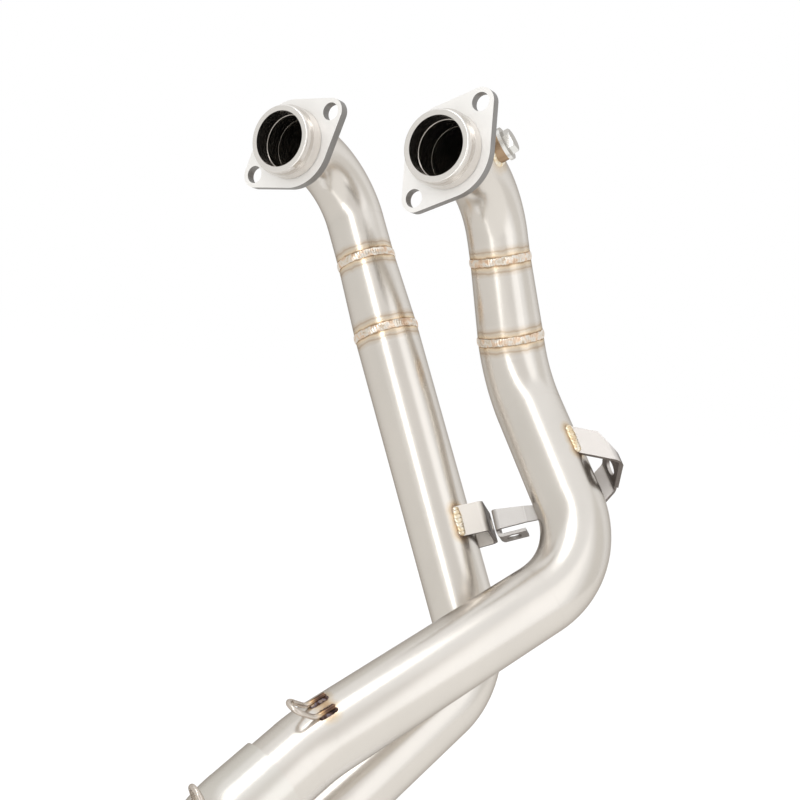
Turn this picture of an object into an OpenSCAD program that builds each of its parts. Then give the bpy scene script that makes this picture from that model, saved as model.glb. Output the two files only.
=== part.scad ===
// Two-cylinder motorcycle exhaust header.
// The origin is the centre of the left port's mouth. X runs from the left port to
// the right port, +Y leads away from the cylinder head, and Z is up.

/* [Ports] */
// Distance between the two port centres
port_spacing = 112.3; // [106:0.1:118]
// Depth of the collar's mouth, where the pipe's end seats
mouth_depth = 11.5; // [10:0.5:12.5]
// Length of the socket that holds the pipe's end
socket_depth = 1.6; // [1.4:0.1:2.5]
// How far the collar's mouth stands inside the pipe's bore
mouth_step = 0.35; // [0.25:0.05:0.6]
// Outer diameter of the collar where it bears on the flange
collar_d = 45.2; // [44.6:0.1:46.4]
// Outer diameter of the collar's front lip
lip_d = 42.6; // [41.8:0.1:43.6]
// Length of the collar's front lip
lip_length = 5.6; // [4.6:0.1:6.6]
// Rounding of the collar's front edge
lip_round = 1.2; // [0.8:0.1:1.6]

/* [Flanges] */
// Thickness of a flange plate
flange_t = 6; // [5:0.5:6.5]
// Distance between a flange's two stud holes
stud_pitch = 67; // [65:0.5:70]
// Diameter of a stud hole
stud_hole_d = 11; // [9:0.5:11.5]
// Radius of the flange round its stud holes
ear_r = 8.4; // [8:0.1:10]
// Diameter of the flange round the pipe
flange_d = 56; // [54:0.5:58]
// Radial clearance between flange and pipe
flange_slack = 0.4; // [0.3:0.05:0.6]
// Gap between flange and collar
flange_gap = 0.3; // [0.25:0.05:0.5]
// Angle at which the left flange hangs, from level
left_flange_turn = 38.6; // [0:0.1:90]
// Angle at which the right flange hangs, from level
right_flange_turn = 59.1; // [0:0.1:90]

/* [Pipes] */
// Outer diameter of the head pipes
head_pipe_d = 38.1; // [37.5:0.1:38.6]
// Outer diameter of the main pipes
main_pipe_d = 42; // [41:0.1:43]
// Wall of the pipes
pipe_wall = 1.2; // [1:0.1:1.5]
// Reach of the left head pipe from mouth to corner
left_reach = 67; // [65:0.5:70]
// Reach of the right head pipe from mouth to corner
right_reach = 69; // [67:0.5:72]
// Centreline radius of the left head bend
left_head_r = 45; // [42:0.5:47]
// Centreline radius of the right head bend
right_head_r = 53; // [50:0.5:54]
// Straight from the left head bend to its expander
left_stub = 28; // [26:0.5:34]
// Straight from the right head bend to its expander
right_stub = 14.5; // [13:0.5:15.5]
// Length of an expander cone
expander_length = 50; // [46:0.5:50.5]
// Centreline radius of the right pipe's offset bend
offset_r = 71; // [66:0.5:72]
// Centreline radius of the right pipe's return bend
return_r = 55.5; // [52:0.5:58]
// Centreline radius of the left pipe's lower bend
lower_r = 50.5; // [48:0.5:53]
// Centreline radius of the right pipe's last gentle bend
trim_r = 100; // [90:1:110]
// Width of a weld bead
bead_w = 5.4; // [4.6:0.1:6]
// Height of a weld bead over the pipe
bead_h = 0.8; // [0.6:0.05:1]

/* [Collector] */
// Sideways place of the collector's mouths
collector_x = 116.6; // [114:0.1:119]
// Forward place of the collector's mouths
collector_y = -59.2; // [-62:0.1:-57]
// Height of the collector's mouths
collector_z = -372.8; // [-375:0.1:-370]
// Heading of the collector away from straight back
collector_heading = 21.1; // [19:0.1:23]
// Slope of the collector below level
collector_slope = 36.5; // [34:0.1:39]
// Roll of the collector about its own length
collector_roll = 24.9; // [23:0.1:27]
// Distance between the collector's two inlets
inlet_pitch = 79; // [77:0.5:82]
// Length of the straight inlet cups
cup_length = 24.5; // [22:0.5:27]
// Radial clearance of a pipe in its cup
cup_slack = 0.2; // [0.1:0.05:0.3]
// How far a pipe reaches into its cup
slip_depth = 18; // [14:0.5:20]
// Wall of the collector
collector_wall = 1.5; // [1.2:0.1:1.8]
// Angle at which each branch turns in
branch_turn = 31; // [28:0.5:32]
// Centreline radius of a branch's bend
branch_r = 30; // [28:1:36]
// Inner diameter of the outlet
outlet_bore_d = 51; // [50:0.1:52]
// Length of the outlet's thicker start, that the weld lies on
outlet_land = 6; // [4:0.5:8]
// Length of the outlet tube
outlet_length = 45; // [35:1:55]
// Length of the left pipe's last straight, to the cup's mouth
left_lower_leg = 153.8; // [151:0.2:156]
// Length of the right pipe's last straight, to the cup's mouth
right_end_leg = 25; // [23:0.5:28]

/* [Sensor boss] */
// Place of the boss along the right head bend, as an angle
boss_station = 15; // [12:0.5:20]
// Turn of the boss about the pipe
boss_turn = 67; // [60:1:75]
// Diameter of the boss
boss_d = 18; // [17:0.5:19]
// Height of the boss face over the pipe's outside
boss_height = 4.95; // [3.5:0.05:8]
// Diameter of the threaded hole, to the thread's outside
boss_hole_d = 12; // [10:0.5:12]
// Diameter of the plug's flange
plug_flange_d = 20.5; // [19:0.5:21.5]
// Thickness of the plug's flange
plug_flange_t = 2.2; // [1.8:0.1:3]
// Width of the plug's hexagon across its flats
plug_hex = 13; // [12:0.5:14]
// Height of the plug's hexagon
plug_hex_h = 4.5; // [4:0.5:6]

/* [Brackets] */
// Thickness of the bracket sheet
sheet_t = 2; // [1.6:0.1:2.4]
// Inner radius of the sheet's folds
fold_r = 1.6; // [1.2:0.1:2]
// Diameter of the holes in the brackets
bracket_hole_d = 10.4; // [9:0.2:11]
// Place of the left bracket along the left pipe
left_bracket_at = 257; // [254:0.5:260]
// Turn of the left bracket about its pipe
left_bracket_turn = -113; // [-118:0.5:-108]
// Place of the right bracket along the right pipe
right_bracket_at = 50.5; // [49:0.5:53]
// Turn of the right bracket about its pipe
right_bracket_turn = -125.5; // [-130:0.5:-120]
// Height of the left bracket's sheet along its pipe
left_bracket_h = 19; // [17:0.5:21]
// Height of the right bracket's sheet along its pipe
right_bracket_h = 19; // [18:0.5:20]
// Angle at which the right bracket's outer corner is cut off
right_bracket_cut = 19; // [15:1:23]
// Place of the tab bracket along the right pipe
tab_bracket_at = 88; // [86:0.5:90]
// Turn of the tab bracket about its pipe
tab_bracket_turn = 54.5; // [50:0.5:59]
// Tilt of the tab bracket, up toward its outer end
tab_tilt = 8; // [5:0.5:12]
// Angle at which the tab bracket narrows toward the pipe
tab_taper = 8; // [5:0.5:11]
// Diameter of the hole in the bracket's tab
tab_hole_d = 9; // [8:0.2:10]

/* [Spring hooks] */
// Diameter of the hook wire
wire_d = 2.8; // [2.4:0.1:3.2]
// Distance between a hook's two legs
hook_pitch = 10.5; // [9.5:0.1:11.5]
// Length of a hook's welded legs
hook_leg = 11.5; // [10:0.5:14]
// Length of a hook's raised loop
hook_rise = 9.5; // [8:0.5:12]
// Angle at which a loop stands off its pipe
hook_angle = 53; // [46:1:60]
// Distance from a pipe hook's loop to the cup's mouth
hook_setback = 30.5; // [30:0.5:34]
// Distance from the end of a branch's bend back to its hook's loop
hook_advance = 14; // [13:0.5:15]
// Length of a collector hook's welded legs
collector_hook_leg = 20; // [19:0.5:22]
// Turn of the collector's hooks about their branches
collector_hook_turn = 8; // [2:1:14]
// Turn of the right pipe's hook about the pipe
right_hook_turn = -105.5; // [-111:0.5:-100]
// Turn of the left pipe's hook about the pipe
left_hook_turn = 70.5; // [65:0.5:76]

/* [Hidden] */
$fn = 40;
wire_fn = 20;
steel = "gainsboro";
bead = "wheat";
over = 1;
lap = 0.5;
swell = 0.05;

head_r = head_pipe_d / 2;
main_r = main_pipe_d / 2;
mouth_r = head_r - pipe_wall - mouth_step;
collar_length = mouth_depth + socket_depth;
flange_front = collar_length + flange_gap;

function unit(v) = v / norm(v);
function bend_angle(a, b, c) = acos(unit(b - a) * unit(c - b));
function setback(a, b, c, r) = r * tan(bend_angle(a, b, c) / 2);
function bend_start(a, b, c, r) = b - setback(a, b, c, r) * unit(b - a);
function bend_end(a, b, c, r) = b + setback(a, b, c, r) * unit(c - b);
function inward(a, b, c) = unit(unit(c - b) - (unit(c - b) * unit(b - a)) * unit(b - a));
function level(v) = unit(cross(v, [0, 0, 1]));
function around(v, angle) = level(v) * cos(angle) + cross(unit(v), level(v)) * sin(angle);

// The collector's own directions: along it, and across from the right inlet to the left.
collector_dir = [
    -cos(collector_slope) * sin(collector_heading),
    -cos(collector_slope) * cos(collector_heading),
    -sin(collector_slope)
];
collector_level = [cos(collector_heading), -sin(collector_heading), 0];
collector_across = cross(collector_level, collector_dir) * cos(collector_roll)
    - collector_level * sin(collector_roll);
collector_mid = [collector_x, collector_y, collector_z];
left_inlet = collector_mid + collector_across * inlet_pitch / 2;
right_inlet = collector_mid - collector_across * inlet_pitch / 2;

// The corners of each pipe's centreline, from its port to its end in the collector.
left_port = [0, 0, 0];
right_port = [port_spacing, 0, 0];
left_corner = left_port + [0, left_reach, 0];
right_corner = right_port + [0, right_reach, 0];
left_low = left_inlet - collector_dir * left_lower_leg;
right_offset = [136.9, 102.9, -125];
right_return = [218.3, 76.7, -225.7];
right_trim = right_inlet - collector_dir * right_end_leg;
left_end = left_inlet + collector_dir * slip_depth;
right_end = right_inlet + collector_dir * slip_depth;

left_down = unit(left_low - left_corner);
right_down = unit(right_offset - right_corner);
left_weld_1 = bend_end(left_port, left_corner, left_low, left_head_r) + left_down * left_stub;
left_weld_2 = left_weld_1 + left_down * expander_length;
right_weld_1 = bend_end(right_port, right_corner, right_offset, right_head_r) + right_down * right_stub;
right_weld_2 = right_weld_1 + right_down * expander_length;

left_main = [left_weld_2, left_low, left_end];
left_main_radii = [lower_r];
right_main = [right_weld_2, right_offset, right_return, right_trim, right_end];
right_main_radii = [offset_r, return_r, trim_r];

// Places its children at a point, with their x and z along two square directions.
module place(p, x, z) {
    y = cross(z, x);
    multmatrix([
        [x[0], y[0], z[0], p[0]],
        [x[1], y[1], z[1], p[1]],
        [x[2], y[2], z[2], p[2]],
        [0, 0, 0, 1]
    ]) children();
}

// Stands its children up along a direction.
module along(p, d) {
    place(p, abs(d[2]) > 0.99 * norm(d) ? [1, 0, 0] : level(d), unit(d)) children();
}

// Puts the centre of a bend at the origin, with the bend starting on +X.
module bend_place(a, b, c, r) {
    toward = inward(a, b, c);
    start = bend_start(a, b, c, r);
    place(start + toward * r, -toward, cross(-toward, unit(b - a))) children();
}

// Part of a ring. It runs a little past both its ends and its section is a hair thicker, so
// that the straights on either side are held in it.
module turn_part(angle, radius) {
    more = atan(lap / radius);
    rotate(-more) rotate_extrude(angle = angle + 2 * more) translate([radius, 0]) children();
}

// A round section along a list of corners, with a bend at each inner corner. Its wall is
// a solid bar's radius, or a tube's wall.
module sweep(p, radii, r, wall) {
    last = len(p) - 1;
    for (i = [0 : last - 1]) {
        from = i == 0 ? p[0] : bend_end(p[i - 1], p[i], p[i + 1], radii[i - 1]);
        to = i == last - 1 ? p[last] : bend_start(p[i], p[i + 1], p[i + 2], radii[i]);
        along(from, to - from) linear_extrude(height = norm(to - from)) section(r, wall);
    }
    for (i = [1 : last - 1])
        bend_place(p[i - 1], p[i], p[i + 1], radii[i - 1])
            turn_part(bend_angle(p[i - 1], p[i], p[i + 1]), radii[i - 1])
                section(r + swell, wall + 2 * swell);
}

module section(r, wall) {
    difference() {
        circle(r = r);
        if (wall < r) circle(r = r - wall);
    }
}

module bar(p, radii, r) { sweep(p, radii, r, r); }
module tube(p, radii, r, wall) { sweep(p, radii, r, wall); }

// A strip of sheet along corners in the XY plane, as high as h and centred on it.
module strip(p, r, h) {
    last = len(p) - 1;
    for (i = [0 : last - 1]) {
        from = i == 0 ? p[0] : bend_end(p[i - 1], p[i], p[i + 1], r);
        to = i == last - 1 ? p[last] : bend_start(p[i], p[i + 1], p[i + 2], r);
        d = to - from;
        translate(from) rotate(atan2(d[1], d[0])) translate([0, -sheet_t / 2, -h / 2])
            cube([norm(d), sheet_t, h]);
    }
    for (i = [1 : last - 1])
        bend_place(p[i - 1], p[i], p[i + 1], r)
            turn_part(bend_angle(p[i - 1], p[i], p[i + 1]), r)
                translate([-sheet_t / 2 - swell, -h / 2]) square([sheet_t + 2 * swell, h]);
}

// Turns its children so that their z leads away from the cylinder head.
module port_axis(p) {
    translate(p) rotate([-90, 0, 0]) children();
}

module collar(p) {
    port_axis(p) rotate_extrude() difference() {
        union() {
            translate([mouth_r, lip_round]) square([lip_d / 2 - mouth_r, lip_length - lip_round]);
            translate([mouth_r, 0]) square([lip_d / 2 - lip_round - mouth_r, lip_length]);
            translate([lip_d / 2 - lip_round, lip_round]) circle(r = lip_round);
            translate([mouth_r, lip_length]) square([collar_d / 2 - mouth_r, collar_length - lip_length]);
        }
        translate([0, mouth_depth]) square([head_r, socket_depth + over]);
    }
}

// One side of a flange between its ear and its round middle. The corners lie just inside
// the two circles, so that the straight edges run smoothly into them.
module flange_web(reach) {
    slope = acos((flange_d / 2 - ear_r) / reach);
    inset = 0.02;
    middle = (flange_d / 2 - inset) * [cos(slope), sin(slope)];
    ear = (ear_r - inset) * [cos(slope), sin(slope)] + [reach, 0];
    linear_extrude(height = flange_t)
        polygon([middle, ear, [ear[0], -ear[1]], [middle[0], -middle[1]]]);
}

module flange(p, turn) {
    reach = stud_pitch / 2;
    port_axis(p) translate([0, 0, flange_front]) rotate(-turn) difference() {
        union() {
            cylinder(r = flange_d / 2, h = flange_t);
            for (side = [0, 1]) mirror([side, 0, 0]) {
                flange_web(reach);
                translate([reach, 0, 0]) cylinder(r = ear_r, h = flange_t);
            }
        }
        translate([0, 0, -over]) cylinder(r = head_r + flange_slack, h = flange_t + 2 * over);
        for (side = [0, 1]) mirror([side, 0, 0])
            translate([reach, 0, -over]) cylinder(d = stud_hole_d, h = flange_t + 2 * over);
    }
}

// A cone of pipe that widens from the head pipe to the main pipe.
module expander(p, q) {
    grow = (main_r - head_r) / norm(q - p);
    along(p, q - p) difference() {
        cylinder(r1 = head_r, r2 = main_r, h = norm(q - p));
        translate([0, 0, -over]) cylinder(
            r1 = head_r - pipe_wall - grow * over,
            r2 = main_r - pipe_wall + grow * over,
            h = norm(q - p) + 2 * over
        );
    }
}

// A bead round a joint, over whatever radius the pipe has just before and after it.
module bead_ring(before, at, after) {
    round_r = (bead_h * bead_h + bead_w * bead_w / 4) / (2 * bead_h);
    rotate_extrude() difference() {
        translate([at + bead_h - round_r, 0]) circle(r = round_r);
        polygon([[0, -bead_w], [before, -bead_w], [at, 0], [after, bead_w], [0, bead_w]]);
        translate([-main_r, -main_r]) square([main_r, 2 * main_r]);
        translate([0, -main_r]) square([at / 2, 2 * main_r]);
    }
}

module pipe_welds(weld_1, weld_2, d) {
    grow = (main_r - head_r) / expander_length * bead_w;
    along(weld_1, d) bead_ring(head_r, head_r, head_r + grow);
    along(weld_2, d) bead_ring(main_r - grow, main_r, main_r);
}

module left_port_collar() { color(steel) collar(left_port); }
module right_port_collar() { color(steel) collar(right_port); }
module left_flange() { color("silver") flange(left_port, left_flange_turn); }
module right_flange() { color("silver") flange(right_port, right_flange_turn); }

module left_head_bend() {
    color(steel) tube([left_port + [0, mouth_depth, 0], left_corner, left_weld_1],
        [left_head_r], head_r, pipe_wall);
}

right_head = [right_port + [0, mouth_depth, 0], right_corner, right_weld_1];

module right_head_bend() {
    color(steel) difference() {
        tube(right_head, [right_head_r], head_r, pipe_wall);
        boss_place() cylinder(d = boss_hole_d, h = boss_top);
    }
}

module left_expander() { color(steel) expander(left_weld_1, left_weld_2); }
module right_expander() { color(steel) expander(right_weld_1, right_weld_2); }
module left_main_pipe() { color(steel) tube(left_main, left_main_radii, main_r, pipe_wall); }
module right_main_pipe() { color(steel) tube(right_main, right_main_radii, main_r, pipe_wall); }
module left_pipe_welds() { color(bead) pipe_welds(left_weld_1, left_weld_2, left_down); }
module right_pipe_welds() {
    color(bead) difference() {
        pipe_welds(right_weld_1, right_weld_2, right_down);
        bar(right_main, right_main_radii, main_r);
    }
}

// A thin fused ring inside each mouth, over the step between collar and pipe.
seam_w = 0.5;
seam_h = 0.2;
module port_seam_welds() {
    color(bead) for (p = [left_port, right_port])
        port_axis(p) translate([0, 0, mouth_depth - seam_w]) difference() {
            cylinder(r = mouth_r, h = seam_w);
            translate([0, 0, -over]) cylinder(r = mouth_r - seam_h, h = seam_w + 2 * over);
        }
}

// The boss stands on the right head bend, square to its centreline.
boss_out = -inward(right_port, right_corner, right_offset);
boss_top = head_r + boss_height;
boss_centre = bend_start(right_port, right_corner, right_offset, right_head_r) - boss_out * right_head_r;
boss_away = boss_out * cos(boss_station) + [0, 1, 0] * sin(boss_station);
boss_side = cross(boss_out, [0, 1, 0]);
boss_dir = boss_away * cos(boss_turn) - boss_side * sin(boss_turn);
module boss_place() {
    place(boss_centre + boss_away * right_head_r, unit(cross(boss_away, boss_side)), boss_dir) children();
}

module sensor_boss() {
    color("tan") difference() {
        boss_place() cylinder(d = boss_d, h = boss_top);
        bar(right_head, [right_head_r], head_r);
        boss_place() translate([0, 0, -over]) cylinder(d = boss_hole_d, h = boss_top + 2 * over);
    }
}

module sensor_boss_weld() {
    color(bead) difference() {
        intersection() {
            boss_place() cylinder(r = boss_d / 2 + bead_w / 3, h = boss_top);
            bar(right_head, [right_head_r], head_r + bead_h + 0.4);
        }
        bar(right_head, [right_head_r], head_r);
        boss_place() cylinder(d = boss_d, h = boss_top);
    }
}

thread_slack = 0.1;
module sensor_plug() {
    shank = boss_height + pipe_wall;
    color("whitesmoke") boss_place() translate([0, 0, boss_top]) {
        translate([0, 0, -shank]) cylinder(d = boss_hole_d - 2 * thread_slack, h = shank);
        cylinder(d = plug_flange_d, h = plug_flange_t);
        translate([0, 0, plug_flange_t]) intersection() {
            cylinder(r = plug_hex / sqrt(3), h = plug_hex_h, $fn = 6);
            cylinder(r1 = plug_hex / sqrt(3) + plug_hex_h, r2 = plug_hex / 2 + 0.2, h = plug_hex_h);
        }
    }
}

// Puts its children on a pipe's straight: x is out from it, and z is along it from p.
module on_pipe(p, q, turn) {
    d = unit(q - p);
    place(p, around(d, turn), d) children();
}

// A slab square to n, h thick along z, through the point p.
module slab(p, n, h) {
    size = 400;
    along(p, n) translate([-size / 2, -size / 2, -h * unit(n)[2] / 2]) cube([size, size, h * unit(n)[2]]);
}

// A sheet folded twice, whose outer wall stands off the pipe and whose two legs reach back
// to it. front and rear are the corners in plan, and root is where the legs end inside the
// pipe. The sheet is trimmed along a slanting slab, and its rear leg hangs down by droop.
module saddle_bracket(front, rear, root, lean, droop, h) {
    fold = fold_r + sheet_t / 2;
    tall = 8 * h;
    behind = rear[1] + fold + 0.5;
    difference() {
        intersection() {
            strip([[root, front[1], 0], front, rear, [root, rear[1], 0]], fold, tall);
            union() {
                intersection() {
                    slab([0, 0, 0], [-lean[0], -lean[1], 1], h);
                    translate([-tall, behind, -tall]) cube(2 * tall);
                }
                intersection() {
                    slab([rear[0], rear[1], lean * [rear[0], rear[1]]], [droop, -lean[1], 1], h);
                    translate([-tall, behind - 2 * tall, -tall]) cube(2 * tall);
                }
            }
        }
        bracket_hole(front, rear, lean);
    }
}

// The hole is drilled square through the outer wall, on its middle line.
module bracket_hole(front, rear, lean) {
    at = front * 0.35 + rear * 0.65;
    translate([at[0], at[1], lean * [at[0], at[1]]])
        rotate(atan2(rear[1] - front[1], rear[0] - front[0])) rotate([90, 0, 0])
            cylinder(d = bracket_hole_d, h = 4 * sheet_t, center = true);
}

module left_bracket_place() {
    on_pipe(left_corner, left_low, left_bracket_turn) translate([0, 0, left_bracket_at]) children();
}

module right_bracket_place() {
    on_pipe(right_offset, right_return, right_bracket_turn) translate([0, 0, right_bracket_at]) children();
}

left_front = [29, 16, 0];
left_rear = [33, -15, 0];
left_lean = [0.05, -0.28];
module left_bracket() {
    color(steel) difference() {
        left_bracket_place() saddle_bracket(left_front, left_rear, 8, left_lean, 0, left_bracket_h);
        along(left_corner, left_down) cylinder(r = main_r, h = 2 * left_bracket_at);
    }
}

right_front = [38.5, 11, 0];
right_rear = [29.5, -19, 0];
right_lean = [0.72, -0.39];
// Where the slanting cut that trims the folded flap starts, and the block that makes it.
right_cut_out = 34;
right_cut_up = 13;
cut_block = 50;
module right_bracket() {
    color(steel) difference() {
        right_bracket_place() difference() {
            saddle_bracket(right_front, right_rear, 6, right_lean, 0.5, right_bracket_h);
            translate([right_cut_out, -cut_block, right_cut_up]) rotate([0, right_bracket_cut, 0])
                translate([0, 0, -cut_block]) cube([cut_block, 2 * cut_block, 3 * cut_block]);
        }
        bar(right_main, right_main_radii, main_r);
    }
}

module tab_bracket_place() {
    on_pipe(right_offset, right_return, tab_bracket_turn) translate([0, 0, tab_bracket_at]) children();
}

// A strip off the inside of the return bend. It is folded back at its outer end, and the
// folded wall's lower edge is folded in again as a drilled tab.
tab_reach = 45;
tab_face = -1;
tab_depth = 16;
tab_top = -11;
tab_edge = 2;
tab_shelf = 5;
tab_w = 17;
// Leans what it holds about the tab's outer top edge.
module tab_lean() {
    translate([tab_reach, 0, tab_top]) rotate([0, tab_tilt, 0]) translate([-tab_reach, 0, -tab_top])
        children();
}

module tab_bracket() {
    fold = fold_r + sheet_t / 2;
    wall_y = tab_face + fold + 1;
    wall_w = tab_depth - wall_y;
    color(steel) difference() {
        tab_bracket_place() tab_lean() {
            difference() {
                translate([0, 0, (tab_top + tab_edge) / 2])
                    strip([[12, 2, 0], [26, tab_face, 0], [tab_reach, tab_face, 0], [tab_reach, wall_y, 0]],
                        fold, tab_edge - tab_top);
                translate([tab_reach, 0, tab_top]) rotate([0, tab_taper, 0])
                    translate([-2 * tab_reach, -tab_reach, -tab_reach])
                        cube([2 * tab_reach, 2 * tab_reach, tab_reach]);
            }
            translate([0, wall_y + wall_w / 2, 0]) rotate([90, 0, 0]) difference() {
                strip([[tab_reach, tab_top, 0], [tab_reach, tab_shelf, 0],
                    [tab_reach - tab_w, tab_shelf, 0]], fold, wall_w);
                translate([tab_reach - 8.5, 0, 0]) rotate([-90, 0, 0])
                    cylinder(d = tab_hole_d, h = 2 * tab_shelf);
            }
        }
        bar(right_main, right_main_radii, main_r);
    }
}

// A bead down the outer side of each leg, in the corner between the leg and the pipe.
module leg_bead(y, z, h) {
    translate([sqrt(main_r * main_r - y * y), y, z - h / 2]) cylinder(r = 2.2, h = h);
}

module bracket_welds() {
    color(bead) {
        difference() {
            left_bracket_place() leg_bead(left_front[1], left_lean * [16, left_front[1]], left_bracket_h);
            left_bracket();
            along(left_corner, left_down) cylinder(r = main_r, h = 2 * left_bracket_at);
        }
        difference() {
            right_bracket_place() leg_bead(right_front[1], right_lean * [18, right_front[1]], right_bracket_h);
            right_bracket();
            bar(right_main, right_main_radii, main_r);
        }
    }
}

// A loop of wire: two legs that lie along a pipe of radius r, joined by a raised loop.
wire_r = wire_d / 2;
function hook_height(r) = sqrt(pow(r + wire_r, 2) - pow(hook_pitch / 2, 2));
// Puts a hook on a pipe, with its loop pointing along d and its legs touching the pipe.
module hook_place(p, d, turn) {
    out = around(d, turn);
    place(p, cross(out, unit(d)), unit(d)) children();
}

module hook(r, leg) {
    half = hook_pitch / 2;
    bottom = [half, hook_height(r), -leg];
    knee = [half, hook_height(r), 0];
    rise = hook_rise * [0, sin(hook_angle), cos(hook_angle)];
    for (side = [0, 1]) mirror([side, 0, 0])
        bar([bottom, knee, knee + rise], [2 * wire_d], wire_r, $fn = wire_fn);
    translate([0, knee[1], 0] + rise) rotate([90 - hook_angle, 0, 0])
        turn_part(180, half) circle(r = wire_r + swell, $fn = wire_fn);
}

module hook_welds(r, leg) {
    for (side = [-1, 1]) difference() {
        translate([side * hook_pitch / 2, hook_height(r) - 0.4, -leg + 1]) rotate([90, 0, 0])
            sphere(r = wire_r + 1.2, $fn = wire_fn);
        translate([side * hook_pitch / 2, hook_height(r), -leg])
            cylinder(r = wire_r, h = leg, $fn = wire_fn);
        translate([0, 0, -3 * leg]) cylinder(r = r, h = 6 * leg);
    }
}

left_hook_at = left_inlet - collector_dir * hook_setback;
right_run = unit(right_trim - right_return);
right_hook_at = right_trim - right_run * (hook_setback - right_end_leg);
cup_r = main_r + cup_slack + collector_wall;

module left_spring_hook() {
    color(steel) hook_place(left_hook_at, collector_dir, left_hook_turn) hook(main_r, hook_leg);
}
module right_spring_hook() {
    color(steel) hook_place(right_hook_at, right_run, right_hook_turn) hook(main_r, hook_leg);
}
// Puts the same hook on each branch of the collector, pointing back toward the pipes.
module collector_hook_places() {
    collector_place() for (side = [0, 1]) mirror([side, 0, 0])
        translate([-bend_x, 0, bend_z]) rotate([0, branch_turn, 0])
            rotate([180, 0, collector_hook_turn - 90]) translate([0, 0, hook_advance]) children();
}
module collector_spring_hooks() {
    color(steel) collector_hook_places() hook(cup_r, collector_hook_leg);
}
module spring_hook_welds() {
    color(bead) {
        hook_place(left_hook_at, collector_dir, left_hook_turn) hook_welds(main_r, hook_leg);
        hook_place(right_hook_at, right_run, right_hook_turn) hook_welds(main_r, hook_leg);
        collector_hook_places() hook_welds(cup_r, collector_hook_leg);
    }
}

// The collector, in its own frame: z along it, and x across from right inlet to left.
outlet_r = outlet_bore_d / 2 + collector_wall;
// The outlet is a little thicker under its weld, for the bead to stand on.
neck_more = 0.4;
neck_r = outlet_r + neck_more;
inlet_x = inlet_pitch / 2;
bend_x = inlet_x - branch_r * (1 - cos(branch_turn));
bend_z = cup_length + branch_r * sin(branch_turn);
merge_z = bend_z + bend_x / tan(branch_turn);
merge_more = 6;
// The cone that opens the joined branches out to the outlet.
flare_length = 30;
flare_rise = 13;

module collector_place() {
    place(collector_mid, collector_across, collector_dir) children();
}

// Where the two branches run together and open out to the outlet.
module merge(r, outlet, more) {
    intersection() {
        union() for (side = [0, 1]) mirror([side, 0, 0])
            translate([bend_x, 0, bend_z]) rotate([0, -branch_turn, 0]) translate([0, 0, -more])
                cylinder(r = r, h = 2 * bend_x / sin(branch_turn) + more);
        cylinder(r = 4 * outlet_bore_d, h = merge_z);
    }
    translate([0, 0, merge_z - flare_length]) cylinder(r1 = outlet - flare_rise, r2 = outlet, h = flare_length);
    translate([0, 0, merge_z]) cylinder(r = outlet, h = merge_more + more);
}

module collector() {
    color(steel) collector_place() {
        for (side = [0, 1]) mirror([side, 0, 0]) {
            translate([inlet_x, 0, 0]) linear_extrude(height = cup_length) section(cup_r, collector_wall);
            translate([inlet_x - branch_r, 0, cup_length]) rotate([90, 0, 0])
                turn_part(branch_turn, branch_r) section(cup_r + swell, collector_wall + 2 * swell);
        }
        difference() {
            merge(cup_r, neck_r, 0);
            merge(cup_r - collector_wall, outlet_bore_d / 2, over);
        }
    }
}

module outlet_place() {
    collector_place() translate([0, 0, merge_z + merge_more]) children();
}

module collector_outlet() {
    color(steel) outlet_place() difference() {
        union() {
            cylinder(r = outlet_r, h = outlet_length);
            cylinder(r = neck_r, h = outlet_land);
        }
        translate([0, 0, -over]) cylinder(d = outlet_bore_d, h = outlet_length + 2 * over);
    }
}

module collector_weld() {
    color(bead) outlet_place() bead_ring(neck_r, neck_r, neck_r);
}

left_port_collar();
right_port_collar();
left_flange();
right_flange();
left_head_bend();
right_head_bend();
left_expander();
right_expander();
left_main_pipe();
right_main_pipe();
left_pipe_welds();
right_pipe_welds();
port_seam_welds();
sensor_boss();
sensor_boss_weld();
sensor_plug();
left_bracket();
right_bracket();
tab_bracket();
bracket_welds();
left_spring_hook();
right_spring_hook();
collector_spring_hooks();
spring_hook_welds();
collector();
collector_outlet();
collector_weld();
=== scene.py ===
# %% [markdown]
# # A motorcycle exhaust header
#
# The real object is a pair of stainless head pipes. Each starts in a turned collar with a
# loose two-hole flange, is welded up from a thin bend, a cone and a wider pipe, and slips
# into a two-into-one collector. The solids come ready made from the part's source, so this
# script leaves their shapes alone. It gives them their steel, adds the weld beads, which
# are too fine for the source, and sets up a plain white studio.

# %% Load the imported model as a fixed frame
import math

import bpy
import numpy as np
from mathutils import Matrix, Vector


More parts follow.
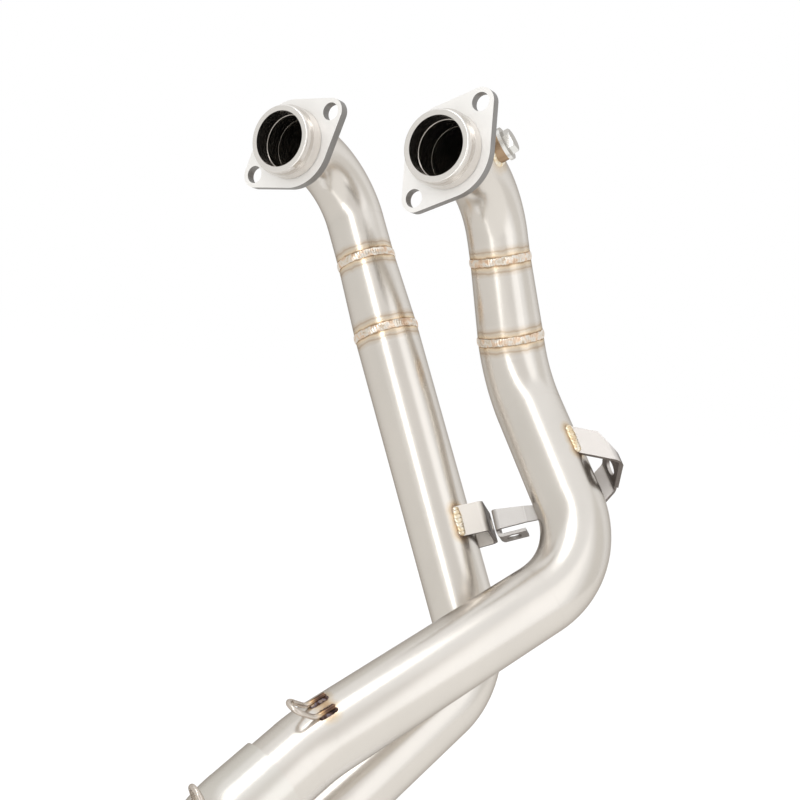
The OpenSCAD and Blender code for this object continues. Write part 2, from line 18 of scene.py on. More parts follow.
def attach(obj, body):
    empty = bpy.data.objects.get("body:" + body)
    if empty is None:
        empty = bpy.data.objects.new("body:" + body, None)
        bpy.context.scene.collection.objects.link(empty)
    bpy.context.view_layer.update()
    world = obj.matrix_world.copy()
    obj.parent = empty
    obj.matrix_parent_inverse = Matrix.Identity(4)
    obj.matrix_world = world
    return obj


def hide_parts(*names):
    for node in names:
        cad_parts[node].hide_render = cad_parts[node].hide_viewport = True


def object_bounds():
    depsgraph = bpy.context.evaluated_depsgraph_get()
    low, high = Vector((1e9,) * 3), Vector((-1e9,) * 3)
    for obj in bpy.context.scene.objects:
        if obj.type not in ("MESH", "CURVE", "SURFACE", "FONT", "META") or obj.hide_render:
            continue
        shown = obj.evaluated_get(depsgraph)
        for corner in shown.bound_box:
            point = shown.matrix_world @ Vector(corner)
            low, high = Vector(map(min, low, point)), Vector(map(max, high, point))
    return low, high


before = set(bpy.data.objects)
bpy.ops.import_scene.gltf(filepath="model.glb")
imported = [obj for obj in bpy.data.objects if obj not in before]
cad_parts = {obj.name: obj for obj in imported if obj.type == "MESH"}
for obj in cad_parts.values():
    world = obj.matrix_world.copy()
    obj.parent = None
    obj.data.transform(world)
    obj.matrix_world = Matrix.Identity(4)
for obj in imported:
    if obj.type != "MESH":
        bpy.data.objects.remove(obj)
cad_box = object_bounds()


# %% [markdown]
# Everything below is placed from the same few measures as the solids, in metres. The
# origin is the centre of the left port's mouth. X runs to the right port, Y away from the
# cylinder head, and Z up. A pipe's centreline is a row of corners with a bend radius at
# each inner one, so the places of the welds follow from the corners.

# %% Shared places
def unit(v):
    """A direction of length one."""
    v = np.asarray(v, float)
    return v / np.linalg.norm(v)


def bend_tangent(a, b, c, radius):
    """How far from its corner b a bend starts and ends: radius * tan(half the turn)."""
    return radius * math.tan(math.acos(float(unit(b - a) @ unit(c - b))) / 2)


Y_AXIS, Z_AXIS = np.array([0.0, 1.0, 0.0]), np.array([0.0, 0.0, 1.0])
PORT_PITCH = 0.1123
HEAD_R, MAIN_R = 0.01905, 0.021
LEFT_BEND_R, RIGHT_BEND_R = 0.045, 0.053
LEFT_STUB, RIGHT_STUB = 0.028, 0.0145
CONE = 0.050
INLET_HALF = 0.0395
LEFT_LEG, RIGHT_LEG = 0.1538, 0.025

heading, slope, roll = np.radians([21.1, 36.5, 24.9])
level_heading = np.array([-math.sin(heading), -math.cos(heading), 0])
collector_dir = level_heading * math.cos(slope) - Z_AXIS * math.sin(slope)
collector_level = np.array([math.cos(heading), -math.sin(heading), 0])
collector_across = (np.cross(collector_level, collector_dir) * math.cos(roll)
                    - collector_level * math.sin(roll))
collector_mid = np.array([0.1166, -0.0592, -0.3728])
left_inlet = collector_mid + collector_across * INLET_HALF
right_inlet = collector_mid - collector_across * INLET_HALF

left_port, right_port = np.zeros(3), np.array([PORT_PITCH, 0, 0])
left_corner, right_corner = np.array([0, 0.067, 0]), np.array([PORT_PITCH, 0.069, 0])
left_low = left_inlet - collector_dir * LEFT_LEG
right_offset, right_return = np.array([0.1369, 0.1029, -0.125]), np.array([0.2183, 0.0767, -0.2257])
right_trim = right_inlet - collector_dir * RIGHT_LEG
left_down, right_down = unit(left_low - left_corner), unit(right_offset - right_corner)
right_run = unit(right_trim - right_return)

left_weld_1 = left_corner + left_down * (
    bend_tangent(left_port, left_corner, left_low, LEFT_BEND_R) + LEFT_STUB)
right_weld_1 = right_corner + right_down * (
    bend_tangent(right_port, right_corner, right_offset, RIGHT_BEND_R) + RIGHT_STUB)
left_weld_2 = left_weld_1 + left_down * CONE
right_weld_2 = right_weld_1 + right_down * CONE
print("upper welds at", np.round(left_weld_1 * 1000), np.round(right_weld_1 * 1000))


def pipe_frame(origin, direction, turn):
    """Axes on a pipe: x leads out from it at an angle from level, and z runs along it."""
    z = unit(direction)
    flat = unit(np.cross(z, (0, 0, 1)))
    x = flat * math.cos(math.radians(turn)) + np.cross(z, flat) * math.sin(math.radians(turn))
    return np.asarray(origin, float), x, np.cross(z, x), z


def placed(axes, x, y, z):
    """The points (x, y, z) of a frame, as rows; each of x, y and z is a number or a column."""
    origin, ex, ey, ez = axes
    x, y, z = (np.reshape(np.asarray(v, float), (-1, 1)) for v in np.broadcast_arrays(x, y, z))
    return origin + x * ex + y * ey + z * ez


# %% [markdown]
# The camera stands where the photographer's did: low, to the right and in front of the
# ports. Its place and lens came from fitting the two pipes' edges. Shift and depth of
# field stay off.

# %% Camera
camera = bpy.data.objects.new("camera", bpy.data.cameras.new("camera"))
bpy.context.scene.collection.objects.link(camera)
camera.data.lens = 49.394
camera.data.sensor_width = 36
camera.data.clip_start = 0.01
camera.matrix_world = Matrix((
    (0.84867, -0.15517, 0.50564, 0.43309),
    (0.50724, -0.03211, -0.86121, -0.54298),
    (0.14987, 0.98737, 0.05145, -0.11387),
    (0, 0, 0, 1)))
bpy.context.scene.camera = camera
print("camera at", tuple(round(c, 3) for c in camera.location))


# %% [markdown]
# A material here is a small network of nodes. These helpers keep its making short: one
# adds a node and wires its inputs, and one turns a plain list of stops into a colour ramp.

# %% Node helpers
def start_material(name):
    """A new material and its shader, with nothing else in its network."""
    material = bpy.data.materials.new(name)
    material.use_nodes = True
    return material, material.node_tree, material.node_tree.nodes["Principled BSDF"]


def node(tree, kind, inputs=(), **settings):
    """Adds a node; inputs pairs a socket's name or number with a value or another socket."""
    made = tree.nodes.new(kind)
    for key, value in settings.items():
        setattr(made, key, value)
    for key, value in dict(inputs).items():
        if isinstance(value, bpy.types.NodeSocket):
            tree.links.new(value, made.inputs[key])
        else:
            made.inputs[key].default_value = value
    return made


def sums(tree, operation, a, b=0.0, c=0.0):
    """One step of arithmetic on numbers, as a socket."""
    return node(tree, "ShaderNodeMath", {0: a, 1: b, 2: c}, operation=operation).outputs[0]


def ramp(tree, factor, stops):
    """A colour ramp from (place, colour) stops."""
    made = node(tree, "ShaderNodeValToRGB", {"Fac": factor})
    elements = made.color_ramp.elements
    while len(elements) < len(stops):
        elements.new(0.5)
    for element, (place, colour) in zip(elements, stops):
        element.position = place
        element.color = (*colour, 1)
    return made.outputs["Color"]


def mix(tree, factor, a, b, how="MIX"):
    """Two colours mixed, as a socket."""
    made = node(tree, "ShaderNodeMix", {"Factor": factor}, data_type="RGBA", blend_type=how)
    for socket, value in ((made.inputs[6], a), (made.inputs[7], b)):
        if isinstance(value, bpy.types.NodeSocket):
            tree.links.new(value, socket)
        else:
            socket.default_value = (*value, 1)
    return made.outputs[2]


# %% [markdown]
# The pipes are satin stainless steel: a metal whose colour is a warm light grey, with a
# fine polish that softens each reflection. Welding colours the steel beside a bead, because
# the hot surface grows a thin oxide: straw furthest out, then brown, then a trace of
# violet-blue at the bead. The tint is worked out from each point's distance to the weld, so
# it lies where the weld is whichever piece the point belongs to.

# %% Satin steel with heat tints
STEEL = (0.735, 0.70, 0.655)
STEEL_EDGE = (0.5, 0.475, 0.45, 1)
GRAIN_DEPTH = 0.0002
RING_RANGE = 0.034
TINT_STOPS = [
    (0.0, (0.38, 0.27, 0.18)),
    (0.25, (0.46, 0.32, 0.20)),
    (0.33, (0.80, 0.66, 0.49)),
    (0.50, (0.70, 0.62, 0.52)),
    (0.60, (0.56, 0.46, 0.36)),
    (0.68, (0.68, 0.61, 0.53)),
    (0.90, STEEL),
]
HALO_STOPS = [
    (0.0, (0.34, 0.28, 0.26)),
    (0.30, (0.50, 0.40, 0.34)),
    (0.50, (0.82, 0.68, 0.52)),
    (0.70, (0.97, 0.90, 0.80)),
    (1.0, (1.0, 1.0, 1.0)),
]


def point_distance(tree, place, centre):
    """Distance from the shaded point to a fixed one, in metres."""
    away = node(tree, "ShaderNodeVectorMath", {0: place, 1: tuple(centre)}, operation="DISTANCE")
    return away.outputs["Value"]


def plane_distance(tree, place, centre, axis):
    """Distance along a pipe from the shaded point to a ring weld's plane."""
    toward = node(tree, "ShaderNodeVectorMath", {0: place, 1: tuple(axis)}, operation="DOT_PRODUCT")
    along = sums(tree, "SUBTRACT", toward.outputs["Value"], float(np.dot(centre, axis)))
    return sums(tree, "ABSOLUTE", along)


def noise(tree, place, scale, detail):
    """Smooth noise between 0 and 1, as a socket; scale is in bumps per metre."""
    made = node(tree, "ShaderNodeTexNoise", {"Vector": place, "Scale": scale, "Detail": detail})
    return made.outputs["Fac"]


def satin_steel(name, rings=(), spots=(), colour=STEEL, rough=0.24):
    """Steel with a fine grain. rings are (centre, axis, reach) of round welds, and spots
    are (point, radius) of short ones; each tints the steel out to that distance."""
    material, tree, shader = start_material(name)
    place = node(tree, "ShaderNodeTexCoord").outputs["Object"]
    soft, fine = noise(tree, place, 26, 3), noise(tree, place, 2400, 2)
    shade = mix(tree, soft, tuple(0.94 * c for c in colour), tuple(min(1, 1.05 * c) for c in colour))
    waver = sums(tree, "MULTIPLY", sums(tree, "SUBTRACT", noise(tree, place, 160, 2), 0.5), 0.25)
    for centre, axis, reach in rings:
        near = sums(tree, "DIVIDE", plane_distance(tree, place, centre, axis), reach)
        this_pipe = sums(tree, "LESS_THAN", point_distance(tree, place, centre), RING_RANGE)
        here = sums(tree, "MULTIPLY", this_pipe, sums(tree, "LESS_THAN", near, 1.0))
        shade = mix(tree, here, shade, ramp(tree, sums(tree, "ADD", near, waver), TINT_STOPS))
    for point, radius in spots:
        near = sums(tree, "DIVIDE", point_distance(tree, place, point), radius)
        halo = ramp(tree, sums(tree, "ADD", near, waver), HALO_STOPS)
        tinted = mix(tree, 1.0, shade, halo, "MULTIPLY")
        shade = mix(tree, sums(tree, "LESS_THAN", near, 1.0), shade, tinted)
    tree.links.new(shade, shader.inputs["Base Color"])
    shader.inputs["Metallic"].default_value = 1.0
    shader.inputs["Specular Tint"].default_value = STEEL_EDGE
    roughness = sums(tree, "MULTIPLY_ADD", fine, 0.10, rough - 0.05)
    tree.links.new(roughness, shader.inputs["Roughness"])
    bump = node(tree, "ShaderNodeBump", {"Height": fine, "Strength": 0.05, "Distance": GRAIN_DEPTH})
    tree.links.new(bump.outputs["Normal"], shader.inputs["Normal"])
    return material


# %% [markdown]
# A CAD node's mesh is never changed. Its object only gets new materials in its slots. Each
# pipe is told which welds stand on it: the rings at the cones' ends, and rows of spots along
# the short welds of the brackets and hooks.


# %% Dress the pipes
def dress(name, material):
    """Gives a solid one material."""
    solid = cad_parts[name]
    solid.data.materials.clear()
    solid.data.materials.append(material)


def weld_spots(axes, radius, x, y, z):
    """Round tints of one radius at the points (x, y, z) of a frame."""
    return [(point, radius) for point in placed(axes, x, y, z)]


RING_REACH = 0.0108
HOOK_SETBACK = 0.0305
HOOK_LEGS = np.array([-0.005, 0.005])
LEFT_BRACKET_AT, RIGHT_BRACKET_AT = 0.253, 0.059
BRACKET_SPOTS = np.array([-0.007, 0, 0.007])
left_rings = [(left_weld_1, left_down, RING_REACH), (left_weld_2, left_down, RING_REACH)]
right_rings = [(right_weld_1, right_down, RING_REACH), (right_weld_2, right_down, RING_REACH)]

left_straight = pipe_frame(left_corner, left_low - left_corner, turn=-113)
right_straight = pipe_frame(right_offset, right_return - right_offset, turn=-125.5)
left_lower = pipe_frame(left_inlet - collector_dir * HOOK_SETBACK, collector_dir, turn=70.5)
right_lower = pipe_frame(
    right_trim - right_run * (HOOK_SETBACK - RIGHT_LEG), right_run, turn=-105.5)
left_spots = (
    weld_spots(left_straight, 0.0080, 0.0125, 0.017, LEFT_BRACKET_AT + BRACKET_SPOTS)
    + weld_spots(left_lower, 0.0085, MAIN_R, HOOK_LEGS, -0.008))
right_spots = (
    weld_spots(right_straight, 0.0075, 0.0172, 0.012, RIGHT_BRACKET_AT + BRACKET_SPOTS)
    + weld_spots(right_lower, 0.0085, MAIN_R, HOOK_LEGS, -0.008))

dress("left_head_bend", satin_steel("left bend steel", left_rings[:1]))
dress("left_expander", satin_steel("left cone steel", left_rings))
dress("left_main_pipe", satin_steel("left pipe steel", left_rings[1:], left_spots))
dress("right_expander", satin_steel("right cone steel", right_rings))
dress("right_main_pipe", satin_steel("right pipe steel", right_rings[1:], right_spots))
print("tinted spots:", len(left_spots + right_spots))


# %% [markdown]
# The boss stands on the right head bend. Its place is found the way the part's source finds
# it: out from the centre of the bend, turned a little along the pipe and then round it.

# %% Place of the boss
boss_out = unit(Y_AXIS * right_down[1] - right_down)
tangent = bend_tangent(right_port, right_corner, right_offset, RIGHT_BEND_R)
bend_centre = right_corner - Y_AXIS * tangent - boss_out * RIGHT_BEND_R
station, turn = math.radians(15), math.radians(67)
boss_away = boss_out * math.cos(station) + Y_AXIS * math.sin(station)
boss_side = np.cross(boss_out, Y_AXIS)
boss_dir = boss_away * math.cos(turn) - boss_side * math.sin(turn)
boss_foot = bend_centre + boss_away * RIGHT_BEND_R
boss_spot = (boss_foot + boss_dir * HEAD_R, 0.0165)
dress("right_head_bend", satin_steel("right bend steel", right_rings[:1], [boss_spot]))
print("boss leads from", np.round(boss_foot * 1000, 1), "along", np.round(boss_dir, 2))


# %% [markdown]
# The other metals are cousins of the same steel. The flanges are blasted, so they are paler
# and flatter; their cut edges are painted in shade. The brackets are bare, dull sheet, with a
# brown-grey painted shade where they look down and inward. The boss has gone brown with heat,
# and the plug is bright.


# %% Other metals
def painted_shade_metal(name, face, shadow, axis, low, high, rough, metallic=1.0, edge=1.0):
    """Steel with painted shade: its colour goes from the shadow colour to the face colour as the
    surface turns to lie across axis, front or back: the mix is |normal . axis|, run from low
    to high."""
    material, tree, shader = start_material(name)
    coordinates = node(tree, "ShaderNodeTexCoord")
    place, normal = coordinates.outputs["Object"], coordinates.outputs["Normal"]
    toward = node(tree, "ShaderNodeVectorMath", {0: normal, 1: tuple(axis)}, operation="DOT_PRODUCT")
    across = sums(tree, "ABSOLUTE", toward.outputs["Value"])
    turned = node(tree, "ShaderNodeMapRange", {"Value": across, "From Min": low, "From Max": high})
    shade = mix(tree, turned.outputs[0], shadow, face)
    patches = sums(tree, "MULTIPLY", noise(tree, place, 90, 4), 0.25)
    shade = mix(tree, patches, shade, tuple(0.7 * c for c in face))
    tree.links.new(shade, shader.inputs["Base Color"])
    shader.inputs["Metallic"].default_value = metallic
    shader.inputs["Specular Tint"].default_value = (edge, edge, edge, 1)
    shader.inputs["Roughness"].default_value = rough
    fine = noise(tree, place, 1800, 2)
    bump = node(tree, "ShaderNodeBump", {"Height": fine, "Strength": 0.1, "Distance": GRAIN_DEPTH})
    tree.links.new(bump.outputs["Normal"], shader.inputs["Normal"])
    return material


# %% [markdown]
# A flange or collar is painted in shade by how little it faces along the ports. The brackets'
# outer plates all face nearly one way, so one direction tells plates from folded flaps, and
# the flaps get painted shade. The burns on the spring hooks are each laid twice, which makes
# them darker.


# %% Dress the rest
def bracket_sheet(name, face, shadow, edge):
    """Dull sheet whose plates face along SHEET_FRONT, with painted shade on the surfaces that don't."""
    return painted_shade_metal(name, face, shadow, SHEET_FRONT, 0.55, 0.9, 0.42, 0.7, edge)


SHEET_FRONT = unit((0.35, -0.85, 0.35))
SHEET_PAINTED_SHADOW = (0.18, 0.155, 0.14)
flange_metal = painted_shade_metal("blasted flange steel", (0.93, 0.92, 0.90), (0.22, 0.21, 0.20),
                           Y_AXIS, 0.55, 0.85, 0.5, 0.75)
collar_metal = painted_shade_metal("turned collar steel", (0.88, 0.86, 0.83), (0.70, 0.66, 0.62),
                           Y_AXIS, 0.1, 0.9, 0.24)
for name in ("left_flange", "right_flange"):
    dress(name, flange_metal)
for name in ("left_port_collar", "right_port_collar", "port_seam_welds"):
    dress(name, collar_metal)
# The brackets are one sheet steel; their faces differ as painted light and shade: the left one is painted
# lighter, the right one and the tab darker, and the tab gets a paler painted shadow.
dress("left_bracket", bracket_sheet("left bracket sheet", (0.82, 0.78, 0.73), SHEET_PAINTED_SHADOW, 0.1))
dress("right_bracket", bracket_sheet("right bracket sheet", (0.62, 0.59, 0.565), SHEET_PAINTED_SHADOW, 0.1))
dress("tab_bracket", bracket_sheet("tab sheet", (0.55, 0.53, 0.51), (0.30, 0.27, 0.25), 0.2))
dress("collector", satin_steel("collector steel", colour=(0.74, 0.715, 0.67)))
dress("collector_outlet", satin_steel("outlet steel"))
burns = [spot for axes in (right_lower, left_lower)
         for spot in weld_spots(axes, 0.0085, 0.0225, HOOK_LEGS, -0.0085)]
hook_metal = satin_steel("hook wire", spots=2 * burns, colour=(0.66, 0.60, 0.54), rough=0.26)
for name in ("left_spring_hook", "right_spring_hook", "collector_spring_hooks"):
    dress(name, hook_metal)
dress("sensor_boss", satin_steel("heat browned boss", colour=(0.44, 0.31, 0.20), rough=0.33))
dress("sensor_plug", satin_steel("bright plug", colour=(0.84, 0.84, 0.82), rough=0.2))
print("metals:", len(bpy.data.materials))


# %% [markdown]
# A weld bead is a row of overlapping frozen puddles. Its surface is a function of two
# numbers: how far along the joint, and how far across the bead. The height across is a low
# arch. Along the joint a saw-tooth that rises slowly and falls fast makes each puddle lie on
# the last, and shifting it back towards the bead's edges gives the crescent shape.


# %% Weld bead surfaces
CROSS_POINTS = 15    # from edge to edge over the top of a bead
CRESCENT = 0.38      # how far a puddle's edges lag behind its middle, as a share of its length
CREST = 0.8          # where a puddle is highest, as a share of its length
TROUGH, SWELL = 0.80, 0.30    # the height between puddles, and what a puddle adds to it
EDGE_SINK = 0.00012  # how far a bead's edges lie inside the steel


def bead_rows(points, normals, closed, width, height, pitch):
    """Rows of points across a bead: point + side * width/2 * v + normal * height * arch(v)
    * ripple, for v from -1 to 1, and then one point sunk under the run."""
    count = len(points)
    ahead = np.roll(points, -1, 0) - np.roll(points, 1, 0)
    if not closed:
        ahead[0], ahead[-1] = points[1] - points[0], points[-1] - points[-2]
    tangent = ahead / np.linalg.norm(ahead, axis=1, keepdims=True)
    side = np.cross(tangent, normals)
    side /= np.linalg.norm(side, axis=1, keepdims=True)
    steps = np.linalg.norm(np.diff(points, axis=0, append=points[:1]), axis=1)
    length = np.concatenate([[0], np.cumsum(steps)[:-1]])
    total = steps.sum() if closed else length[-1]
    puddles = max(1, round(total / pitch))
    v = np.linspace(-1, 1, CROSS_POINTS)
    phase = (length[:, None] / total * puddles + CRESCENT * v[None, :] ** 2) % 1.0
    saw_tooth = np.where(phase < CREST, phase / CREST, (1 - phase) / (1 - CREST))
    ripple = TROUGH + SWELL * saw_tooth ** 1.3
    arch = np.sqrt(np.clip(1 - v ** 2, 0, 1))
    ends = np.sqrt(np.clip(1 - np.abs(2 * length / total - 1) ** 6, 0.02, 1))
    taper = np.ones(count) if closed else ends
    wobble = 1 + 0.06 * np.sin(length * 900 + 2 * np.sin(length * 310))
    across = side[:, None, :] * (v[None, :, None] * (width / 2 * taper * wobble)[:, None, None])
    rise = height * arch[None, :] * ripple * taper[:, None] - EDGE_SINK
    under = points - normals * height * 0.5
    over = points[:, None, :] + across + normals[:, None, :] * rise[:, :, None]
    return np.concatenate([over, under[:, None, :]], axis=1)


def bead_faces(count, wide, closed, start):
    """Four-sided faces between neighbouring rows, and a cap at each open end."""
    i = np.arange(count if closed else count - 1)[:, None]
    j = np.arange(wide)[None, :]
    k, n = (i + 1) % count, (j + 1) % wide
    corners = [i * wide + j, i * wide + n, k * wide + n, k * wide + j]
    faces = (np.stack(corners, -1).reshape(-1, 4) + start).tolist()
    if not closed:
        faces.append((np.arange(wide)[::-1] + start).tolist())
        faces.append((np.arange(wide) + (count - 1) * wide + start).tolist())
    return faces


def bead_mesh(name, runs, width, height, pitch):
    """One mesh of several beads, each on a run of (points, normals, closed)."""
    corners, faces, start = [], [], 0
    for points, normals, closed in runs:
        rows = bead_rows(points, normals, closed, width, height, pitch)
        count, wide = rows.shape[:2]
        corners.append(rows.reshape(-1, 3))
        faces += bead_faces(count, wide, closed, start)
        start += count * wide
    mesh = bpy.data.meshes.new(name)
    mesh.from_pydata(np.concatenate(corners).tolist(), [], faces)
    mesh.shade_smooth()
    mesh.update()
    piece = bpy.data.objects.new(name, mesh)
    bpy.context.scene.collection.objects.link(piece)
    return piece


# %% [markdown]
# The beads' metals differ in how far the weld was scorched. The ring welds are silver and
# tan, the bracket welds golden, and the hook welds nearly black. One ramp each, over slow
# noise, sets the patches.


# %% Weld metals
def weld_metal(name, stops):
    """Bright ripples with oxide in patches, coloured by a ramp over slow noise."""
    material, tree, shader = start_material(name)
    place = node(tree, "ShaderNodeTexCoord").outputs["Object"]
    patches = noise(tree, place, 260, 2)
    tree.links.new(ramp(tree, patches, stops), shader.inputs["Base Color"])
    shader.inputs["Metallic"].default_value = 1.0
    shader.inputs["Roughness"].default_value = 0.28
    return material


bead_metal = weld_metal("weld bead", [
    (0.30, (0.66, 0.46, 0.32)), (0.43, (0.78, 0.62, 0.48)),
    (0.55, (0.80, 0.76, 0.70)), (0.66, (0.74, 0.66, 0.55)), (0.76, (0.50, 0.36, 0.24))])
gold_metal = weld_metal("gold weld", [
    (0.28, (0.66, 0.47, 0.28)), (0.45, (0.84, 0.71, 0.50)),
    (0.60, (0.88, 0.83, 0.71)), (0.75, (0.38, 0.25, 0.15))])
scorched_metal = weld_metal("scorched weld", [
    (0.34, (0.03, 0.02, 0.02)), (0.46, (0.10, 0.06, 0.05)),
    (0.56, (0.20, 0.17, 0.20)), (0.68, (0.36, 0.27, 0.18)), (0.80, (0.06, 0.035, 0.025))])


def finish_bead(bead, metal, node_name):
    """Puts a bead on the resting body in place of the source's plain one."""
    bead.data.materials.append(metal)
    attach(bead, "rest")
    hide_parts(node_name)
    print(bead.name, len(bead.data.polygons), "faces")


print("weld metals:", [metal.name for metal in (bead_metal, gold_metal, scorched_metal)])


# %% [markdown]
# A ring weld runs once round its pipe. The two on each pipe share one piece, as in the
# source, and the collector's outlet has its own.


# %% Ring welds
def ring_run(centre, axis, radius, count=900):
    """A closed run round a pipe: centre + radius * (cos t, sin t) in the plane across axis."""
    axis = unit(axis)
    first = unit(np.cross(axis, (0, 0, 1)))
    second = np.cross(axis, first)
    t = np.linspace(0, 2 * math.pi, count, endpoint=False)[:, None]
    out = np.cos(t) * first + np.sin(t) * second
    return centre + radius * out, out, True


RING_W, RING_H = 0.0054, 0.0008
OUTLET_AT, OUTLET_R = 0.10456, 0.0274
left_runs = [ring_run(left_weld_1, left_down, HEAD_R), ring_run(left_weld_2, left_down, MAIN_R)]
right_runs = [ring_run(right_weld_1, right_down, HEAD_R), ring_run(right_weld_2, right_down, MAIN_R)]
outlet_runs = [ring_run(collector_mid + collector_dir * OUTLET_AT, collector_dir, OUTLET_R)]
left_bead = bead_mesh("left_weld_beads", left_runs, RING_W, RING_H, pitch=0.0016)
right_bead = bead_mesh("right_weld_beads", right_runs, RING_W, RING_H, pitch=0.0016)
outlet_bead = bead_mesh("outlet_weld_bead", outlet_runs, RING_W, RING_H, pitch=0.0018)
finish_bead(left_bead, bead_metal, "left_pipe_welds")
finish_bead(right_bead, bead_metal, "right_pipe_welds")
finish_bead(outlet_bead, bead_metal, "collector_weld")

# %% [markdown]
# Short welds lie in the corner between a pipe and what stands on it. Each run is a line of
# points in that corner, with normals half way between the two surfaces.


# %% Bracket welds
def corner_run(axes, y, start, stop, count=120):
    """A straight run along a main pipe, at the foot of a sheet whose face is at y: the point
    is (sqrt(radius^2 - y^2), y, z) and the normal is unit((x, y) / radius + (0, 1))."""
    z = np.linspace(start, stop, count)
    x = math.sqrt(MAIN_R ** 2 - y ** 2)
    across = np.array([x / MAIN_R, y / MAIN_R + 1])
    across /= np.linalg.norm(across)
    points = placed(axes, x, y, z)
    normals = np.tile(across[0] * axes[1] + across[1] * axes[2], (count, 1))
    return points + normals * BRACKET_LIFT, normals, False


BRACKET_LIFT = 0.0004
bracket_runs = [corner_run(left_straight, 0.017, 0.2434, 0.2624),
                corner_run(right_straight, 0.012, 0.0487, 0.0677)]
bracket_bead = bead_mesh("bracket_weld_beads", bracket_runs, width=0.0056, height=0.0018, pitch=0.0026)
finish_bead(bracket_bead, gold_metal, "bracket_welds")


# %% [markdown]
# A spring hook is a bent wire whose two legs lie along the pipe. A bead runs down each side
# of each leg. The collector's hooks stand on its bent branches, so their axes are found by
# the same turns that the source makes.


# %% Hook welds
def leg_runs(axes, radius, leg, knee_gap):
    """Runs down both sides of a hook's two legs, at the foot of each wire: a point at the
    angle of the wire's contact, BEAD_ASIDE to one side of it, on the pipe's surface."""
    runs = []
    contact = math.asin(HOOK_PITCH / 2 / (radius + WIRE_R))
    z = np.linspace(-leg - LEG_OVERRUN, -knee_gap, 90)
    for leg_sign in (-1, 1):
        for side in (-1, 1):
            angle = leg_sign * contact + side * BEAD_ASIDE / radius
            out = np.array([math.cos(angle), math.sin(angle)])
            lean = out + 0.7 * side * np.array([-math.sin(angle), math.cos(angle)])
            lean /= np.linalg.norm(lean)
            points = placed(axes, radius * out[0], radius * out[1], z)
            runs.append((points, np.tile(lean[0] * axes[1] + lean[1] * axes[2], (len(z), 1)), False))
    return runs


def branch_frame(mirrored):
    """The axes of a collector hook: on a branch's outer side, looking back to the pipes."""
    bend, turn = math.radians(31), math.radians(8 - 90)
    x0 = INLET_HALF - BRANCH_R * (1 - math.cos(bend))
    z0 = CUP_LENGTH + BRANCH_R * math.sin(bend)
    own = np.diag([-1.0 if mirrored else 1.0, 1, 1])
    tilt = np.array(Matrix.Rotation(bend, 3, "Y"))
    spin = np.array(Matrix.Rotation(turn, 3, "Z"))
    flip = np.diag([1.0, -1, -1])
    upright = np.cross(collector_dir, collector_across)
    world = np.column_stack([collector_across, upright, collector_dir])
    turned = world @ own @ tilt @ spin @ flip
    corner = np.array([-x0, 0, z0]) + tilt @ spin @ flip @ np.array([0, 0, HOOK_ADVANCE])
    return collector_mid + world @ (own @ corner), turned[:, 1], -turned[:, 0], turned[:, 2]


HOOK_PITCH, WIRE_R, HOOK_ADVANCE = 0.0105, 0.0014, 0.014
BEAD_ASIDE, LEG_OVERRUN = 1.05 * WIRE_R, 0.0012
BRANCH_R, CUP_LENGTH, CUP_R = 0.030, 0.0245, 0.0227
hook_runs = []
for axes in (right_lower, left_lower):
    hook_runs += leg_runs(axes, MAIN_R, leg=0.0115, knee_gap=0.0015)
for mirrored in (False, True):
    hook_runs += leg_runs(branch_frame(mirrored), CUP_R, leg=0.020, knee_gap=0.0145)
hook_bead = bead_mesh("hook_weld_beads", hook_runs, width=0.0027, height=0.0014, pitch=0.0021)
finish_bead(hook_bead, scorched_metal, "spring_hook_welds")

# %% [markdown]
# The boss's weld follows the saddle-shaped line where a round boss meets a bent pipe. Each
# point of it slides along the boss until it is one pipe radius from the bend's centreline,
# which halving the step finds in a few rounds.

# %% Boss weld
BOSS_FOOT_R = 0.0092
theta = np.linspace(0, 2 * math.pi, 260, endpoint=False)
boss_x = unit(np.cross(boss_dir, boss_away))
boss_y = np.cross(boss_dir, boss_x)
ring = np.cos(theta)[:, None] * boss_x + np.sin(theta)[:, None] * boss_y


def above_pipe(points):
    """How far points stand over the bend's surface: hypot(rho - bend radius, off plane) - pipe radius."""
    rel = points - bend_centre
    rho = np.hypot(rel @ boss_out, rel @ Y_AXIS)
    return np.hypot(rho - RIGHT_BEND_R, rel @ unit(boss_side)) - HEAD_R


low_end, high_end = np.full(len(theta), 0.006), np.full(len(theta), 0.024)
for _ in range(30):
    middle = (low_end + high_end) / 2
    over = above_pipe(boss_foot + BOSS_FOOT_R * ring + middle[:, None] * boss_dir) > 0
    low_end, high_end = np.where(over, low_end, middle), np.where(over, middle, high_end)
foot_line = boss_foot + BOSS_FOOT_R * ring + middle[:, None] * boss_dir
lean = ring + 0.9 * boss_dir
lean /= np.linalg.norm(lean, axis=1, keepdims=True)
boss_bead = bead_mesh("boss_weld_bead", [(foot_line, lean, True)], width=0.0040, height=0.0012, pitch=0.0019)
finish_bead(boss_bead, gold_metal, "sensor_boss_weld")

# %% [markdown]
# The studio is a white room with a white floor that keeps the object's shadow. The world's
# strength of 1 is the white of the background.

# %% Room
scene = bpy.context.scene
scene.view_settings.view_transform = "Standard"
FLOOR = cad_box[0][2] - 0.001
floor_mesh = bpy.data.meshes.new("floor")
floor_edge = [(-30, -30, FLOOR), (30, -30, FLOOR), (30, 30, FLOOR), (-30, 30, FLOOR)]
floor_mesh.from_pydata(floor_edge, [], [(0, 1, 2, 3)])
floor = bpy.data.objects.new("floor", floor_mesh)
scene.collection.objects.link(floor)
paper, tree, shader = start_material("white paper")
shader.inputs["Base Color"].default_value = (1, 1, 1, 1)
shader.inputs["Roughness"].default_value = 1.0
shader.inputs["Specular IOR Level"].default_value = 0.0
floor_mesh.materials.append(paper)

world = bpy.data.worlds.new("room")
scene.world = world
world.use_nodes = True
background = world.node_tree.nodes["Background"]
background.inputs["Color"].default_value = (1, 1, 1, 1)
background.inputs["Strength"].default_value = 1.0
print("floor at", round(FLOOR, 4))


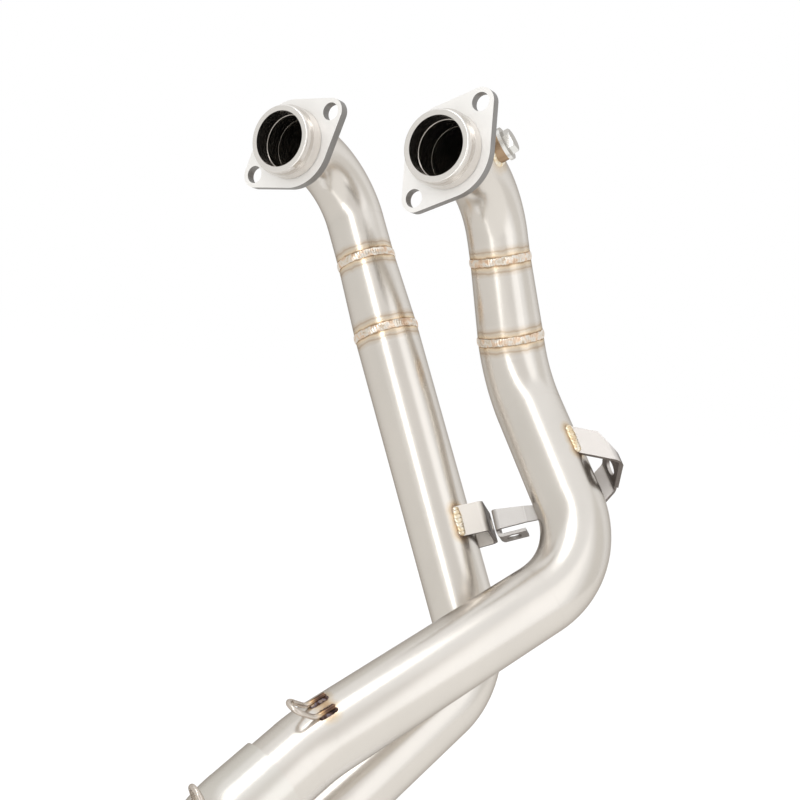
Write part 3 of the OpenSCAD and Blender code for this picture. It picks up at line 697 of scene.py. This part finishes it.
# %% [markdown]
# A tall strip lamp beside the camera draws the bright streak down each pipe, and a soft lamp
# overhead lights the lower pipes. Grey cards round the sides and on the floor, which only
# show in the metal, give the pipes their darker flanks. One bright strip of floor carries
# the streak on where a pipe leans back and mirrors the floor.


# %% Lamps and cards
MIDDLE = Vector((0.11, 0.02, -0.2))
CAMERA_SIDE = math.atan2(-0.861, 0.506)    # which way the camera lies, seen from above


def round_room(turn, away, height=0.0):
    """A place in the room: turn degrees from the camera's side, to the camera's right."""
    angle = CAMERA_SIDE + math.radians(turn)
    return MIDDLE + Vector((math.cos(angle), math.sin(angle), 0)) * away + Vector((0, 0, height))


def soft_lamp(name, place, wide, tall, power):
    """An oblong area lamp that faces the object."""
    light = bpy.data.lights.new(name, "AREA")
    light.shape = "RECTANGLE"
    light.size, light.size_y = wide, tall
    light.energy = power
    lamp = bpy.data.objects.new(name, light)
    scene.collection.objects.link(lamp)
    lamp.location = place
    lamp.rotation_euler = (MIDDLE - place).to_track_quat("-Z", "Y").to_euler()


def card_between(name, foot, head, shade):
    """A card between two rows of places, seen only in the metal."""
    count = len(foot)
    mesh = bpy.data.meshes.new(name)
    faces = [(i, i + 1, count + i + 1, count + i) for i in range(count - 1)]
    mesh.from_pydata(foot + head, [], faces)
    material, tree, shader = start_material(name)
    glow = node(tree, "ShaderNodeEmission", {"Color": (*shade, 1), "Strength": 1.0})
    tree.links.new(glow.outputs[0], tree.nodes["Material Output"].inputs["Surface"])
    mesh.materials.append(material)
    card = bpy.data.objects.new(name, mesh)
    scene.collection.objects.link(card)
    card.visible_camera = card.visible_shadow = card.visible_diffuse = False


def grey_card(name, start, stop, away, bottom, top, shade, count=24):
    """A curved card that stands round the room, from one turn to another."""
    turns = np.linspace(start, stop, count)
    foot, head = ([round_room(t, away, z) for t in turns] for z in (bottom, top))
    card_between(name, foot, head, shade)


def floor_card(name, start, stop, near, far, shade, count=24):
    """A fan-shaped card that lies just over the floor."""
    turns = np.linspace(start, stop, count)
    low = FLOOR + 0.0005 - MIDDLE.z
    inner, outer = ([round_room(t, away, low) for t in turns] for away in (near, far))
    card_between(name, inner, outer, shade)


soft_lamp("strip lamp", round_room(-24, 2.2, 0.5), 0.34, 4.2, 13)
soft_lamp("side strip", round_room(44, 2.2, 0.3), 1.1, 3.6, 4.2)
soft_lamp("overhead lamp", round_room(-42, 1.2, 2.2), 0.95, 0.8, 6)
grey_card("left card", -168, -31, 2.6, -2.5, 2.6, (0.80, 0.785, 0.76))
grey_card("front card", -16, 30, 2.9, -2.5, 2.6, (0.84, 0.82, 0.80))
grey_card("right card", 72, 104, 2.6, -2.5, 2.6, (0.80, 0.78, 0.75))
floor_card("left floor card", -180, -30, 0.15, 2.6, (0.83, 0.81, 0.78))
floor_card("floor streak", -30, -22.5, 0.15, 2.6, (1.9, 1.89, 1.87))
floor_card("right floor card", -22.5, 180, 0.15, 2.6, (1.0, 0.985, 0.96))
